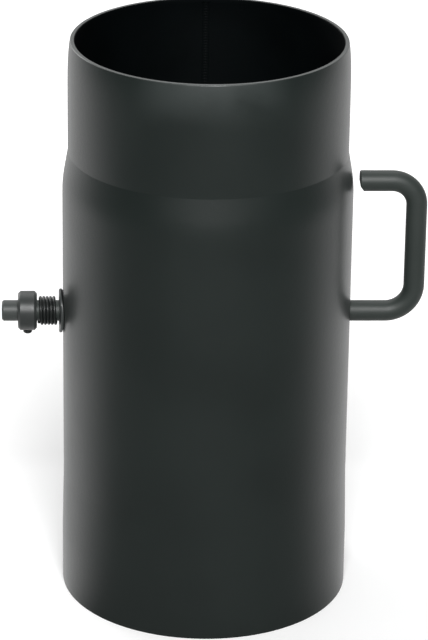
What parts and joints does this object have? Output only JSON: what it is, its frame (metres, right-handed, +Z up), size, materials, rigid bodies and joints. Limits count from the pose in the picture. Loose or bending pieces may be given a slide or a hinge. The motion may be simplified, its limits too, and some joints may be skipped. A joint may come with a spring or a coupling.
{
  "type": "stove pipe damper",
  "caption": "Black steel flue pipe with a swaged upper spigot and a disc damper inside, turned by a bent rod handle and held by a coil spring, bowed washer and set collar.",
  "frame": {"origin": "centre of the pipe's lower rim, where the socket opens", "axes": "+Z up the flue towards the spigot, +X along the damper rod towards the handle, +Y towards the welded seam at the back"},
  "size_m": [0.1822, 0.1252, 0.25],
  "materials": {
    "stove_paint": "matte heat-proof paint, black with a faint green cast",
    "blackened_steel": "blackened and oiled, satin",
    "zinc_steel": "zinc plated, satin"
  },
  "bodies": {
    "pipe": {"pipe_body": "stove_paint", "thrust_washer": "blackened_steel"},
    "damper": {"handle_rod": "stove_paint", "damper_disc": "stove_paint", "disc_bolts": "zinc_steel", "disc_lock_washers": "zinc_steel", "disc_nuts": "zinc_steel", "friction_spring": "blackened_steel", "set_collar": "blackened_steel", "set_screw": "blackened_steel"}
  },
  "joints": [
    {"name": "damper_turn", "type": "hinge", "parent": "pipe", "child": "damper", "pos_m": [0, 0, 0.127], "axis": [1, 0, 0], "continuous": true}
  ]
}
